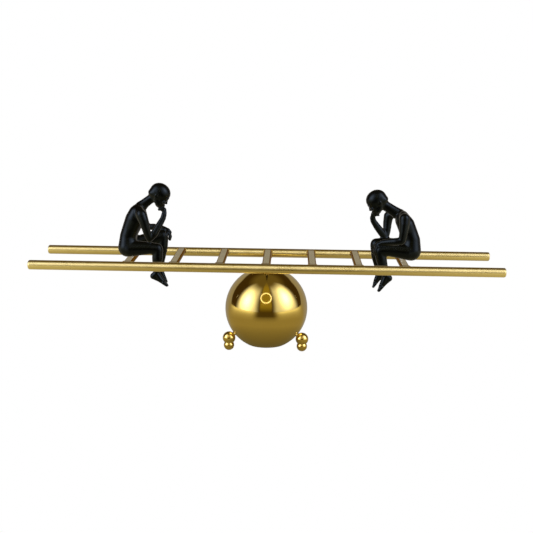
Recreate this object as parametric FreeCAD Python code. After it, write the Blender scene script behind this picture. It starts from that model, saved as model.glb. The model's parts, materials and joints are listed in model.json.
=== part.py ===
import FreeCAD, Part
import math
import os

# Balance ornament: a brass ladder pivoted on a ball with three feet, and a
# seated figure on each end rung.  Millimetres, +Z up.  The origin is on the
# ground under the middle of the ball.  +X runs along the ladder and +Y goes
# from the front rail to the rear rail.

V = FreeCAD.Vector
UP = V(0, 0, 1)
ALONG = V(1, 0, 0)
ACROSS = V(0, 1, 0)

# Ladder
RAIL_LENGTH = 400.0
RAIL_RADIUS = 4.0
RAIL_WALL = 1.0
RAIL_SPACING = 76.0
LADDER_AXIS_Z = 76.0
CAP_HEAD = 2.6
CAP_PLUG = 7.0
CAP_EDGE = 1.5
RUNG_COUNT = 7
RUNG_PITCH = 39.0
RUNG_WIDTH = 6.8
RUNG_HEIGHT = 4.4
MIDDLE_RUNG_HEIGHT = 7.4
RUNG_WALL = 0.8
RUNG_CORNER = 1.3
VENT_RADIUS = 0.6
VENT_FROM_RAIL = 7.0

# Ball
BALL_RADIUS = 36.0
BALL_WALL = 1.2
BALL_CENTRE_Z = 33.8
BALL_CUT = 32.2
JOINING_RING_HEIGHT = 8.0
JOINING_RING_WALL = 1.2
INNER_GAP = 0.05
BASE_PLATE_THICKNESS = 1.5
BALLAST_RIM_HEIGHT = 8.0
BALLAST_BOSS_RADIUS = 18.0
BALLAST_BOSS_HEIGHT = 11.5
BALLAST_GAP = 0.6
BALLAST_SCREW_RADIUS = 2.0
BALLAST_SCREW_LENGTH = 14.0
BALLAST_HEAD_RADIUS = 3.5
BALLAST_HEAD_HEIGHT = 0.9

# Feet
FOOT_COUNT = 3
FOOT_CIRCLE_RADIUS = 36.5
FOOT_FIRST_ANGLE = 90.0
UPPER_BALL_RADIUS = 5.5
UPPER_BALL_Z = 10.8
LOWER_BALL_RADIUS = 4.5
LOWER_BALL_Z = 4.35
SPIGOT_RADIUS = 1.2
SPIGOT_LENGTH = 2.5
STUD_RADIUS = 1.8
STUD_START = 31.8
STUD_END = 41.0
FOOT_NUT_FLATS = 6.0
FOOT_NUT_START = 32.2
FOOT_NUT_HEIGHT = 2.2

# Pivot
RUNNING_GAP = 0.05
BUSH_FLANGE_RADIUS = 4.5
BUSH_FLANGE_HEIGHT = 0.7
BUSH_RADIUS = 3.0
BUSH_SEAT_Z = 69.5
BUSH_BOTTOM_Z = 62.8
POST_RADIUS = 1.5
POST_BOTTOM_Z = 57.3
COLLAR_RADIUS = 3.0
COLLAR_HEIGHT = 0.8
EYE_RADIUS = 2.5
EYE_THICKNESS = 4.0
PIN_RADIUS = 1.25
PIN_LENGTH = 19.5
SLOT_HALF_LENGTH = 2.5
SLOT_HALF_WIDTH = 2.3
BLOCK_LENGTH = 7.0
BLOCK_START = 2.4
BLOCK_CORNER = 0.6
WASHER_RADIUS = 3.6
WASHER_THICKNESS = 0.7
SPRING_WASHER_THICKNESS = 0.5
LOCK_NUT_FLATS = 5.5
LOCK_NUT_HEIGHT = 2.4

# Figures
FIGURE_SCREW_RADIUS = 1.0
FIGURE_SCREW_HEAD_RADIUS = 1.9
FIGURE_SCREW_HEAD_HEIGHT = 1.3
FIGURE_SCREW_GRIP = 6.0
LEFT_FIGURE_Y = -3.0
RIGHT_FIGURE_Y = 4.0

SEAT_Z = LADDER_AXIS_Z + MIDDLE_RUNG_HEIGHT / 2
RUNG_BOTTOM_Z = SEAT_Z - RUNG_HEIGHT
MIDDLE_RUNG_BOTTOM_Z = SEAT_Z - MIDDLE_RUNG_HEIGHT
END_RUNG_X = RUNG_PITCH * (RUNG_COUNT - 1) / 2
BALL_CENTRE = V(0, 0, BALL_CENTRE_Z)
BALL_INNER_RADIUS = BALL_RADIUS - BALL_WALL
BALL_BOTTOM_Z = BALL_CENTRE_Z - BALL_CUT
PIVOT = V(0, 0, LADDER_AXIS_Z)
BIG = 100.0


# ---- plain solids ----------------------------------------------------------

def cylinder(radius, start, end):
    run = end - start
    return Part.makeCylinder(radius, run.Length, start, run)


def tube(outer, inner, start, end):
    return cylinder(outer, start, end).cut(cylinder(inner, start, end))


def block(low, high):
    size = high - low
    return Part.makeBox(size.x, size.y, size.z, low)


def ball(radius, centre):
    return Part.makeSphere(radius, centre)


def slab(low_z, high_z):
    return block(V(-BIG, -BIG, low_z), V(BIG, BIG, high_z))


def hexagon(flats, start, end):
    """A hexagonal bar between two points."""
    run = end - start
    corner = flats / 2 / math.cos(math.radians(30))
    points = []
    for step in range(7):
        angle = math.radians(60 * step)
        points.append(V(corner * math.cos(angle), corner * math.sin(angle), 0))
    bar = Part.Face(Part.makePolygon(points)).extrude(V(0, 0, run.Length))
    bar.Placement = FreeCAD.Placement(start, FreeCAD.Rotation(UP, run))
    return bar


def limb(start, end, start_radius, end_radius):
    """A rounded, tapered limb: two balls and the cone that touches both."""
    run = end - start
    length = run.Length
    lean = math.asin((start_radius - end_radius) / length)

    def on_ball(centre_z, radius, angle):
        return V(radius * math.cos(angle), 0, centre_z + radius * math.sin(angle))

    first_pole = V(0, 0, -start_radius)
    last_pole = V(0, 0, length + end_radius)
    first_touch = on_ball(0, start_radius, lean)
    last_touch = on_ball(length, end_radius, lean)
    first_mid = on_ball(0, start_radius, (lean - math.pi / 2) / 2)
    last_mid = on_ball(length, end_radius, (lean + math.pi / 2) / 2)
    outline = Part.Wire([
        Part.Arc(first_pole, first_mid, first_touch).toShape(),
        Part.LineSegment(first_touch, last_touch).toShape(),
        Part.Arc(last_touch, last_mid, last_pole).toShape(),
        Part.LineSegment(last_pole, first_pole).toShape(),
    ])
    solid = Part.Face(outline).revolve(V(0, 0, 0), UP, 360)
    solid.Placement = FreeCAD.Placement(start, FreeCAD.Rotation(UP, run))
    return solid


def turned_about_z(shape, degrees):
    copy = shape.copy()
    copy.rotate(V(0, 0, 0), UP, degrees)
    return copy


# ---- ladder ----------------------------------------------------------------

def rail_centre(side):
    """Middle of a rail; side is -1 for the front rail and +1 for the rear."""
    return V(0, side * RAIL_SPACING / 2, LADDER_AXIS_Z)


def make_rail(side):
    half = ALONG * (RAIL_LENGTH / 2 - CAP_HEAD)
    middle = rail_centre(side)
    return tube(RAIL_RADIUS, RAIL_RADIUS - RAIL_WALL, middle - half, middle + half)


def make_rail_cap(side, end):
    """A plug with a rounded head that closes one end of a rail."""
    tip = rail_centre(side) + ALONG * (end * RAIL_LENGTH / 2)
    shoulder = tip - ALONG * (end * CAP_HEAD)
    head = cylinder(RAIL_RADIUS, shoulder, tip)
    outer_edges = []
    for edge in head.Edges:
        if abs(edge.CenterOfMass.x - tip.x) < 0.01:
            outer_edges.append(edge)
    head = head.makeFillet(CAP_EDGE, outer_edges)
    plug_end = shoulder - ALONG * (end * CAP_PLUG)
    return head.fuse(cylinder(RAIL_RADIUS - RAIL_WALL, plug_end, shoulder)).removeSplitter()


def square_bar(width, height, corner, x, half_length, centre_z):
    """A bar along Y with rounded long edges."""
    bar = block(V(x - width / 2, -half_length, centre_z - height / 2),
                V(x + width / 2, half_length, centre_z + height / 2))
    long_edges = []
    for edge in bar.Edges:
        if edge.Length > 1.9 * half_length:
            long_edges.append(edge)
    return bar.makeFillet(corner, long_edges)


def make_rung(number):
    """A flat tube whose ends are cut to fit against the round rails.

    All seven are flush on top; the middle one is deeper, to hold the pivot.
    """
    x = RUNG_PITCH * (number - (RUNG_COUNT + 1) / 2)
    height = RUNG_HEIGHT
    if x == 0:
        height = MIDDLE_RUNG_HEIGHT
    centre_z = SEAT_Z - height / 2
    half_length = RAIL_SPACING / 2
    outer = square_bar(RUNG_WIDTH, height, RUNG_CORNER, x, half_length, centre_z)
    inner = square_bar(RUNG_WIDTH - 2 * RUNG_WALL, height - 2 * RUNG_WALL,
                       RUNG_CORNER - RUNG_WALL, x, half_length, centre_z)
    rung = outer.cut(inner)
    for side in (-1, 1):
        reach = ALONG * BIG * 3
        rung = rung.cut(cylinder(RAIL_RADIUS, rail_centre(side) - reach, rail_centre(side) + reach))
    return rung


def add_pivot_slot(rung):
    """The slot under the middle rung that lets the post in, and its vent."""
    slot = block(V(-SLOT_HALF_LENGTH, -SLOT_HALF_WIDTH, MIDDLE_RUNG_BOTTOM_Z - 1),
                 V(SLOT_HALF_LENGTH, SLOT_HALF_WIDTH, LADDER_AXIS_Z))
    vent_y = VENT_FROM_RAIL - RAIL_SPACING / 2
    vent = cylinder(VENT_RADIUS, V(0, vent_y, LADDER_AXIS_Z), V(0, vent_y, SEAT_Z + 1))
    return rung.cut(slot).cut(vent)


def add_screw_holes(rung, x, y):
    return rung.cut(cylinder(FIGURE_SCREW_RADIUS, V(x, y, RUNG_BOTTOM_Z - 1), V(x, y, SEAT_Z + 1)))


# ---- ball and ballast --------------------------------------------------------

def make_shell(low_z, high_z):
    sphere = ball(BALL_RADIUS, BALL_CENTRE).cut(ball(BALL_INNER_RADIUS, BALL_CENTRE))
    return sphere.common(slab(low_z, high_z))


def make_upper_shell():
    shell = make_shell(BALL_CENTRE_Z, BUSH_SEAT_Z)
    return shell.cut(cylinder(BUSH_RADIUS, PIVOT - UP * BIG, PIVOT))


def make_lower_shell():
    shell = make_shell(BALL_BOTTOM_Z, BALL_CENTRE_Z)
    for angle in foot_angles():
        start, end = stud_line(angle)
        shell = shell.cut(cylinder(STUD_RADIUS, start, end))
    return shell


def make_joining_ring():
    half = JOINING_RING_HEIGHT / 2
    ring = ball(BALL_INNER_RADIUS - INNER_GAP, BALL_CENTRE)
    ring = ring.common(slab(BALL_CENTRE_Z - half, BALL_CENTRE_Z + half))
    bore = BALL_INNER_RADIUS - JOINING_RING_WALL
    return ring.cut(cylinder(bore, V(0, 0, 0), PIVOT))


def ballast_screw_line():
    bottom = V(0, 0, BALL_BOTTOM_Z)
    return bottom, bottom + UP * BALLAST_SCREW_LENGTH


def make_base_plate():
    plate = ball(BALL_INNER_RADIUS - INNER_GAP, BALL_CENTRE)
    plate = plate.common(slab(BALL_BOTTOM_Z, BALL_BOTTOM_Z + BASE_PLATE_THICKNESS))
    start, end = ballast_screw_line()
    return plate.cut(cylinder(BALLAST_SCREW_RADIUS, start, end))


def make_ballast():
    floor = BALL_BOTTOM_Z + BASE_PLATE_THICKNESS
    rim = ball(BALL_INNER_RADIUS - BALLAST_GAP, BALL_CENTRE)
    rim = rim.common(slab(floor, floor + BALLAST_RIM_HEIGHT))
    boss_top = floor + BALLAST_RIM_HEIGHT + BALLAST_BOSS_HEIGHT
    boss = cylinder(BALLAST_BOSS_RADIUS, V(0, 0, floor + 1), V(0, 0, boss_top))
    start, end = ballast_screw_line()
    hole = cylinder(BALLAST_SCREW_RADIUS, start, end + UP)
    return rim.fuse(boss).cut(hole)


def make_ballast_screw():
    start, end = ballast_screw_line()
    shank = cylinder(BALLAST_SCREW_RADIUS, start, end)
    head = cylinder(BALLAST_HEAD_RADIUS, start - UP * BALLAST_HEAD_HEIGHT, start)
    socket = hexagon(BALLAST_SCREW_RADIUS * 1.2, start - UP * BALLAST_HEAD_HEIGHT, start)
    return shank.fuse(head).cut(socket)


# ---- feet --------------------------------------------------------------------

def foot_angles():
    return [FOOT_FIRST_ANGLE + 360.0 / FOOT_COUNT * step for step in range(FOOT_COUNT)]


def foot_spot(angle, z):
    turn = math.radians(angle)
    return V(FOOT_CIRCLE_RADIUS * math.cos(turn), FOOT_CIRCLE_RADIUS * math.sin(turn), z)


def stud_line(angle):
    """Ends of the stud that joins a foot to the ball."""
    outwards = foot_spot(angle, UPPER_BALL_Z) - BALL_CENTRE
    outwards.normalize()
    return BALL_CENTRE + outwards * STUD_START, BALL_CENTRE + outwards * STUD_END


def ball_joint_z():
    """Height of the flat on which the two balls of a foot meet."""
    drop = UPPER_BALL_Z - LOWER_BALL_Z
    down = (drop ** 2 + UPPER_BALL_RADIUS ** 2 - LOWER_BALL_RADIUS ** 2) / (2 * drop)
    return UPPER_BALL_Z - down


def spigot(angle, length):
    start = foot_spot(angle, ball_joint_z())
    return cylinder(SPIGOT_RADIUS, start, start + UP * length)


def make_foot_stud(angle):
    start, end = stud_line(angle)
    return cylinder(STUD_RADIUS, start, end)


def make_foot_nuts():
    nuts = []
    for angle in foot_angles():
        start, end = stud_line(angle)
        along = end - start
        along.normalize()
        near = BALL_CENTRE + along * FOOT_NUT_START
        nut = hexagon(FOOT_NUT_FLATS, near, near + along * FOOT_NUT_HEIGHT)
        nuts.append(nut.cut(cylinder(STUD_RADIUS, start, end)))
    return Part.makeCompound(nuts)


def make_upper_foot_ball(angle):
    shape = ball(UPPER_BALL_RADIUS, foot_spot(angle, UPPER_BALL_Z))
    shape = shape.common(slab(ball_joint_z(), BIG))
    start, end = stud_line(angle)
    return shape.cut(cylinder(STUD_RADIUS, start, end)).cut(spigot(angle, SPIGOT_LENGTH))


def make_lower_foot_ball(angle):
    shape = ball(LOWER_BALL_RADIUS, foot_spot(angle, LOWER_BALL_Z))
    return shape.common(slab(0, ball_joint_z())).fuse(spigot(angle, SPIGOT_LENGTH))


# ---- pivot -------------------------------------------------------------------

def at_height(z):
    return V(0, 0, z)


def make_bush():
    flange = cylinder(BUSH_FLANGE_RADIUS, at_height(BUSH_SEAT_Z),
                      at_height(BUSH_SEAT_Z + BUSH_FLANGE_HEIGHT))
    barrel = cylinder(BUSH_RADIUS, at_height(BUSH_BOTTOM_Z), at_height(BUSH_SEAT_Z))
    bore = cylinder(POST_RADIUS + RUNNING_GAP, at_height(0), PIVOT)
    return flange.fuse(barrel).cut(bore)


def make_post():
    """Shaft, collar, neck and the flat eye that carries the pin."""
    shaft = cylinder(POST_RADIUS, at_height(POST_BOTTOM_Z), PIVOT)
    collar_z = BUSH_SEAT_Z + BUSH_FLANGE_HEIGHT + RUNNING_GAP
    collar = cylinder(COLLAR_RADIUS, at_height(collar_z), at_height(collar_z + COLLAR_HEIGHT))
    half = ACROSS * (EYE_THICKNESS / 2)
    eye = cylinder(EYE_RADIUS, PIVOT - half, PIVOT + half)
    return shaft.fuse([collar, eye]).cut(make_pin())


def make_pin():
    half = ACROSS * (PIN_LENGTH / 2)
    return cylinder(PIN_RADIUS, PIVOT - half, PIVOT + half)


def make_bearing_block(side):
    width = RUNG_WIDTH - 2 * RUNG_WALL
    height = MIDDLE_RUNG_HEIGHT - 2 * RUNG_WALL
    bar = square_bar(width, height, BLOCK_CORNER, 0, BLOCK_LENGTH / 2, LADDER_AXIS_Z)
    bar.translate(ACROSS * (side * (BLOCK_START + BLOCK_LENGTH / 2)))
    return bar.cut(cylinder(PIN_RADIUS + RUNNING_GAP, PIVOT - ACROSS * BIG, PIVOT + ACROSS * BIG))


def make_post_stack():
    """Thrust washer, spring washer and lock nut under the bush, in order."""
    top = BUSH_BOTTOM_Z - RUNNING_GAP
    middle = top - WASHER_THICKNESS
    low = middle - SPRING_WASHER_THICKNESS
    bottom = low - LOCK_NUT_HEIGHT
    thrust = tube(WASHER_RADIUS, POST_RADIUS, at_height(middle), at_height(top))
    spring = tube(WASHER_RADIUS - 0.4, POST_RADIUS, at_height(low), at_height(middle))
    nut = hexagon(LOCK_NUT_FLATS, at_height(bottom), at_height(low))
    nut = nut.cut(cylinder(POST_RADIUS, at_height(bottom), at_height(low)))
    return {"thrust_washer": thrust, "spring_washer": spring, "post_lock_nut": nut}


# ---- figures -----------------------------------------------------------------

# Joints of each seated figure as (distance from its rung, sideways, height
# above the seat), and the radius there.  The first number grows the way the
# figure faces, which is towards the ball.  Sideways is + towards the rear rail.

LEFT_POSE = [
    ((-2.5, -4.5, 7.9), 8.0, (-2.5, 4.5, 7.9), 7.9),
    ((-3.0, -3.6, 11.0), 7.0, (3.6, -4.2, 30.5), 7.6),
    ((-3.0, 3.6, 11.0), 7.0, (3.6, 4.2, 30.5), 7.7),
    ((8.6, -11.0, 36.6), 4.6, (7.0, 11.5, 36.6), 4.7),
    ((7.4, 0.0, 38.0), 5.2, (15.5, 0.0, 46.5), 4.1),
    ((22.8, 0.0, 52.6), 9.3, (25.3, 0.0, 46.4), 6.2),
    ((9.4, -12.0, 37.2), 4.3, (17.0, -8.6, 15.6), 3.3),
    ((17.2, -8.6, 15.2), 3.5, (28.2, -3.0, 35.5), 2.3),
    ((28.0, -2.6, 36.0), 2.7, (26.6, 0.0, 41.2), 3.1),
    ((8.0, 12.0, 36.4), 4.2, (13.5, 12.5, 21.5), 3.2),
    ((13.6, 12.4, 21.0), 3.3, (28.5, 9.0, 21.6), 2.4),
    ((28.2, 9.0, 21.4), 2.6, (31.6, 7.4, 16.6), 2.2),
    ((-0.5, -6.0, 7.2), 6.6, (23.6, -6.6, 7.0), 4.6),
    ((23.8, -6.6, 6.9), 4.4, (22.4, -6.4, -13.6), 2.9),
    ((21.2, -6.3, -15.8), 2.8, (30.4, -6.2, -24.0), 2.0),
    ((-0.5, 6.0, 8.0), 6.5, (26.4, 7.4, 16.4), 4.6),
    ((26.6, 7.4, 16.2), 4.4, (24.6, 6.4, -13.6), 2.7),
    ((24.2, 6.3, -15.4), 2.6, (29.4, 6.0, -22.4), 1.9),
]

RIGHT_POSE = [
    ((-7.6, -4.5, 7.9), 8.1, (-7.6, 4.5, 7.9), 8.0),
    ((-1.0, -3.0, 6.2), 6.3, (-1.0, 3.0, 6.2), 6.2),
    ((-8.0, -3.6, 11.5), 7.2, (-3.2, -4.2, 29.5), 7.9),
    ((-8.0, 3.6, 11.5), 7.2, (-3.2, 4.2, 29.5), 8.0),
    ((1.0, -11.5, 36.4), 4.7, (5.0, 10.5, 36.0), 4.6),
    ((4.0, 0.0, 37.2), 5.4, (13.6, 0.0, 44.4), 4.3),
    ((22.2, 0.0, 49.8), 9.3, (22.6, 0.0, 43.4), 6.3),
    ((0.0, -12.0, 36.6), 4.3, (1.4, -13.2, 17.2), 3.3),
    ((1.8, -13.2, 16.6), 3.5, (19.4, -7.8, 13.4), 2.5),
    ((19.6, -7.6, 13.4), 2.8, (24.0, -5.6, 9.0), 2.2),
    ((7.0, 11.0, 36.0), 4.1, (14.2, 7.6, 15.8), 3.4),
    ((14.4, 7.6, 15.8), 3.5, (25.4, 3.0, 31.0), 2.3),
    ((25.2, 3.0, 31.6), 2.6, (23.6, 0.8, 38.0), 3.1),
    ((-4.5, -6.0, 7.4), 6.7, (19.4, -6.6, 7.6), 4.8),
    ((19.6, -6.6, 7.4), 4.5, (15.6, -6.4, -12.4), 2.9),
    ((14.0, -6.3, -15.0), 2.8, (19.8, -6.2, -24.8), 2.0),
    ((-4.5, 6.0, 7.8), 6.6, (22.0, 5.0, 9.8), 4.8),
    ((22.0, 5.0, 9.6), 4.4, (19.6, 5.6, -13.4), 2.7),
    ((19.0, 5.6, -15.4), 2.6, (23.0, 5.6, -24.8), 1.9),
]


def make_figure(pose, rung_x, side_y):
    """One seated figure, flat where it rests on its rung."""
    faces = -1 if rung_x > 0 else 1

    def spot(point):
        forward, sideways, height = point
        return V(rung_x + faces * forward, side_y + sideways, SEAT_Z + height)

    limbs = []
    for start, start_radius, end, end_radius in pose:
        limbs.append(limb(spot(start), spot(end), start_radius, end_radius))
    body = limbs[0].fuse(limbs[1:])
    rung = block(V(rung_x - RUNG_WIDTH / 2, -RAIL_SPACING / 2, MIDDLE_RUNG_BOTTOM_Z),
                 V(rung_x + RUNG_WIDTH / 2, RAIL_SPACING / 2, SEAT_Z))
    screw_hole = cylinder(FIGURE_SCREW_RADIUS, V(rung_x, side_y, RUNG_BOTTOM_Z),
                          V(rung_x, side_y, SEAT_Z + FIGURE_SCREW_GRIP))
    return body.cut([rung, screw_hole])


def figure_places():
    return {"left": (-END_RUNG_X, LEFT_FIGURE_Y), "right": (END_RUNG_X, RIGHT_FIGURE_Y)}


def make_figure_screws():
    screws = []
    for x, y in figure_places().values():
        head_top = V(x, y, RUNG_BOTTOM_Z)
        head = cylinder(FIGURE_SCREW_HEAD_RADIUS, head_top - UP * FIGURE_SCREW_HEAD_HEIGHT, head_top)
        shank = cylinder(FIGURE_SCREW_RADIUS, head_top, V(x, y, SEAT_Z + FIGURE_SCREW_GRIP))
        screws.append(head.fuse(shank))
    return Part.makeCompound(screws)


# ---- assembly ------------------------------------------------------------------

def make_ladder_nodes():
    nodes = {}
    for rail_name, side in (("front", -1), ("rear", 1)):
        nodes[f"{rail_name}_rail"] = make_rail(side)
        for end_name, end in (("left", -1), ("right", 1)):
            nodes[f"{rail_name}_rail_{end_name}_cap"] = make_rail_cap(side, end)
    for number in range(1, RUNG_COUNT + 1):
        nodes[f"rung_{number}"] = make_rung(number)
    middle = f"rung_{(RUNG_COUNT + 1) // 2}"
    nodes[middle] = add_pivot_slot(nodes[middle])
    for rung_name, place in (("rung_1", "left"), (f"rung_{RUNG_COUNT}", "right")):
        x, y = figure_places()[place]
        nodes[rung_name] = add_screw_holes(nodes[rung_name], x, y)
    return nodes


def make_ball_nodes():
    return {
        "ball_upper_shell": make_upper_shell(),
        "ball_lower_shell": make_lower_shell(),
        "shell_joining_ring": make_joining_ring(),
        "base_plate": make_base_plate(),
        "ballast_weight": make_ballast(),
        "ballast_screw": make_ballast_screw(),
    }


def make_foot_nodes():
    nodes = {"foot_nuts": make_foot_nuts()}
    for name, angle in zip(("rear", "left", "right"), foot_angles()):
        nodes[f"foot_stud_{name}"] = make_foot_stud(angle)
        nodes[f"foot_upper_ball_{name}"] = make_upper_foot_ball(angle)
        nodes[f"foot_lower_ball_{name}"] = make_lower_foot_ball(angle)
    return nodes


def make_pivot_nodes():
    nodes = {
        "swivel_bush": make_bush(),
        "pivot_post": make_post(),
        "pivot_pin": make_pin(),
        "bearing_block_front": make_bearing_block(-1),
        "bearing_block_rear": make_bearing_block(1),
    }
    nodes.update(make_post_stack())
    return nodes


def make_figure_nodes():
    nodes = {"figure_screws": make_figure_screws()}
    for place, pose in (("left", LEFT_POSE), ("right", RIGHT_POSE)):
        x, y = figure_places()[place]
        nodes[f"figure_{place}"] = make_figure(pose, x, y)
    return nodes


def main():
    os.makedirs("parts", exist_ok=True)
    nodes = {}
    for group in (make_ladder_nodes, make_ball_nodes, make_foot_nodes, make_pivot_nodes,
                  make_figure_nodes):
        nodes.update(group())
    for name, shape in nodes.items():
        shape.exportStep(os.path.join("parts", name + ".step"))
        print(name, len(shape.Solids), "solid", round(shape.Volume, 1), "mm3", shape.isValid())
    print(len(nodes), "nodes")


main()
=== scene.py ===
import json
import math

import bmesh
import bpy
from mathutils import Matrix, Vector


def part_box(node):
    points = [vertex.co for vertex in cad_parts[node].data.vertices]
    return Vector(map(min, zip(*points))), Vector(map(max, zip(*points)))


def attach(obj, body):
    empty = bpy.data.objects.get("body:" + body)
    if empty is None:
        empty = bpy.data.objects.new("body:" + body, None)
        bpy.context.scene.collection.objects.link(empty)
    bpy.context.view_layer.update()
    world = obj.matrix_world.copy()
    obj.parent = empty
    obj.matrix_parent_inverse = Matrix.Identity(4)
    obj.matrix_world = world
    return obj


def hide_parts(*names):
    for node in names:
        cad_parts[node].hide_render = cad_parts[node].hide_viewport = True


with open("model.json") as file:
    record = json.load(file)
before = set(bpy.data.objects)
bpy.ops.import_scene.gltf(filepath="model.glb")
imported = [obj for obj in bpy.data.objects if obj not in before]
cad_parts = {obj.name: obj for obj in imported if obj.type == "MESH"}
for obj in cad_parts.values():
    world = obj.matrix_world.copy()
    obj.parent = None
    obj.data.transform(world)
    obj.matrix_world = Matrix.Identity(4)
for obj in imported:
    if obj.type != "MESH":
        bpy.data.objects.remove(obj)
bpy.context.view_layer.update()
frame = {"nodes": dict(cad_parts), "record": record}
MM = 0.001


# ---- camera, floor and light ---------------------------------------------------

CAMERA_PLACE = (19.9 * MM, -910.0 * MM, 243.4 * MM)
CAMERA_TURN = 1.273
CAMERA_DOWN = 10.747
CAMERA_ROLL = 0.736
CAMERA_LENS = 71.66

FLOOR_SIZE = 6.0

# Radiances of the studio as the brass mirrors it.
TABLE_LIGHT = (0.33, 0.275, 0.13, 1)
SHADE_LIGHT = (0.075, 0.05, 0.012, 1)
BACKDROP_LIGHT = (0.33, 0.30, 0.25, 1)
ROOM_LIGHT = (0.052, 0.03, 0.006, 1)
CEILING_LIGHT = (0.14, 0.105, 0.035, 1)
FRONT_LIGHT = (0.33, 0.245, 0.03, 1)
SOFTBOX_COLOUR = (1.0, 1.03, 1.12, 1)
RING_COLOUR = (1.0, 0.96, 0.88, 1)
BRIGHT_TABLE_LIGHT = (1.05, 0.98, 0.68, 1)
BOOM_LIGHT = (0.004, 0.001, 0.0, 1)

# Windows: centre, half width and softness, in degrees of azimuth or elevation.
BEHIND = 180.0
TABLE_SIDES = (68.0, 36.0, 16.0)
TABLE_FRONT = (0.0, 27.0, 10.0)
TABLE_BACK = (BEHIND, 62.0, 12.0)
BACKDROP_HEIGHT = (0.0, 30.0, 2.5)
BACKDROP_SOFT = 2.5
FRONT_WALL_WIDTH = (0.0, 17.0, 3.0)
FRONT_WALL_HEIGHT = (43.0, 35.0, 14.0)
BOOM_SOFT = 0.8

# Ramps: from and to, in metres or degrees, then the values there unless they are 0 and 1.
CONTACT_SHADE = (0.018, 0.062, 0.42, 1.0)
TABLE_SIDES_START = (0.1, 0.6)
TABLE_FRONT_START = (0.085, 0.19)
CEILING_START = (48.0, 66.0)
BACKDROP_HALF_WIDTH = (0.0, 32.0, 64.0, 41.0)
BOOM_HALF_WIDTH = (40.0, 90.0, 2.2, 6.0)
BOOM_START = (42.0, 50.0)

# Soft panels: their middle, how far they reach, and the hot part, in degrees.
LEFT_PANEL = {"centre": -57.0, "half": 31.0, "lift": 24.0, "half_lift": 36.0,
              "hot_centre": -60.0, "hot_lift": 23.0}
RIGHT_PANEL = {"centre": 61.0, "half": 35.0, "lift": 29.0, "half_lift": 36.0,
               "hot_centre": 66.0, "hot_lift": 31.0}
PANEL_SOFT = 9.0
PANEL_SOFT_LIFT = 13.0
PANEL_LEVEL = 0.75
HOT_WIDTH = 15.0
HOT_HEIGHT = 19.0
HOT_PEAK = 3.4

RING_AZIMUTH = 0.0
RING_ELEVATION = 39.3
RING_RADIUS = 13.8
RING_HALF_WIDTH = 0.95
RING_SOFT_SHARE = 0.6
RING_STRENGTH = 2.4

DEGREES = 180.0 / math.pi


def deselect():
    bpy.ops.object.select_all(action="DESELECT")


def place_camera():
    data = bpy.data.cameras.new("camera")
    data.lens = CAMERA_LENS
    data.sensor_width = 36.0
    data.clip_start = 0.01
    data.clip_end = 50.0
    camera = bpy.data.objects.new("camera", data)
    bpy.context.scene.collection.objects.link(camera)
    turn = Matrix.Rotation(math.radians(CAMERA_TURN), 4, "Z")
    tip = Matrix.Rotation(math.radians(90.0 - CAMERA_DOWN), 4, "X")
    roll = Matrix.Rotation(math.radians(CAMERA_ROLL), 4, "Z")
    camera.matrix_world = Matrix.Translation(CAMERA_PLACE) @ turn @ tip @ roll
    bpy.context.scene.camera = camera


class Nodes:
    """Short names for adding and joining shader nodes."""

    def __init__(self, tree):
        self.tree = tree

    def add(self, kind, **values):
        node = self.tree.nodes.new(kind)
        for name, value in values.items():
            setattr(node, name, value)
        return node

    def join(self, source, target):
        self.tree.links.new(source, target)

    def math(self, operation, a, b=None, clamp=False):
        node = self.add("ShaderNodeMath", operation=operation, use_clamp=clamp)
        for socket, value in zip(node.inputs, (a, b)):
            self.feed(socket, value)
        return node.outputs[0]

    def feed(self, socket, value):
        if value is None:
            return
        if isinstance(value, bpy.types.NodeSocket):
            self.join(value, socket)
        else:
            socket.default_value = value

    def ramp(self, value, low, high, to_low=0.0, to_high=1.0):
        node = self.add("ShaderNodeMapRange", clamp=True)
        for index, given in enumerate((value, low, high, to_low, to_high)):
            self.feed(node.inputs[index], given)
        return node.outputs[0]

    def blend(self, factor, a, b):
        node = self.add("ShaderNodeMix", data_type="RGBA")
        self.feed(node.inputs[0], factor)
        self.feed(node.inputs[6], a)
        self.feed(node.inputs[7], b)
        return node.outputs[2]


def new_material(name):
    material = bpy.data.materials.new(name)
    material.use_nodes = True
    material.node_tree.nodes.clear()
    return material, Nodes(material.node_tree)


def window_group():
    """1 where Value is within Half of Centre, fading to 0 over Soft."""
    tree, n, given, result = group_tree(
        "soft_window",
        [("Value", FLOAT, 0.0), ("Centre", FLOAT, 0.0), ("Half", FLOAT, 1.0), ("Soft", FLOAT, 0.1)],
        [("Mask", FLOAT)])
    offset = n.math("ABSOLUTE", n.math("SUBTRACT", given["Value"], given["Centre"]))
    fade = n.add("ShaderNodeMapRange", interpolation_type="SMOOTHSTEP")
    n.join(offset, fade.inputs[0])
    n.join(n.math("SUBTRACT", given["Half"], given["Soft"]), fade.inputs[1])
    n.join(n.math("ADD", given["Half"], given["Soft"]), fade.inputs[2])
    fade.inputs[3].default_value = 1.0
    fade.inputs[4].default_value = 0.0
    n.join(fade.outputs[0], result["Mask"])
    return tree


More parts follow.
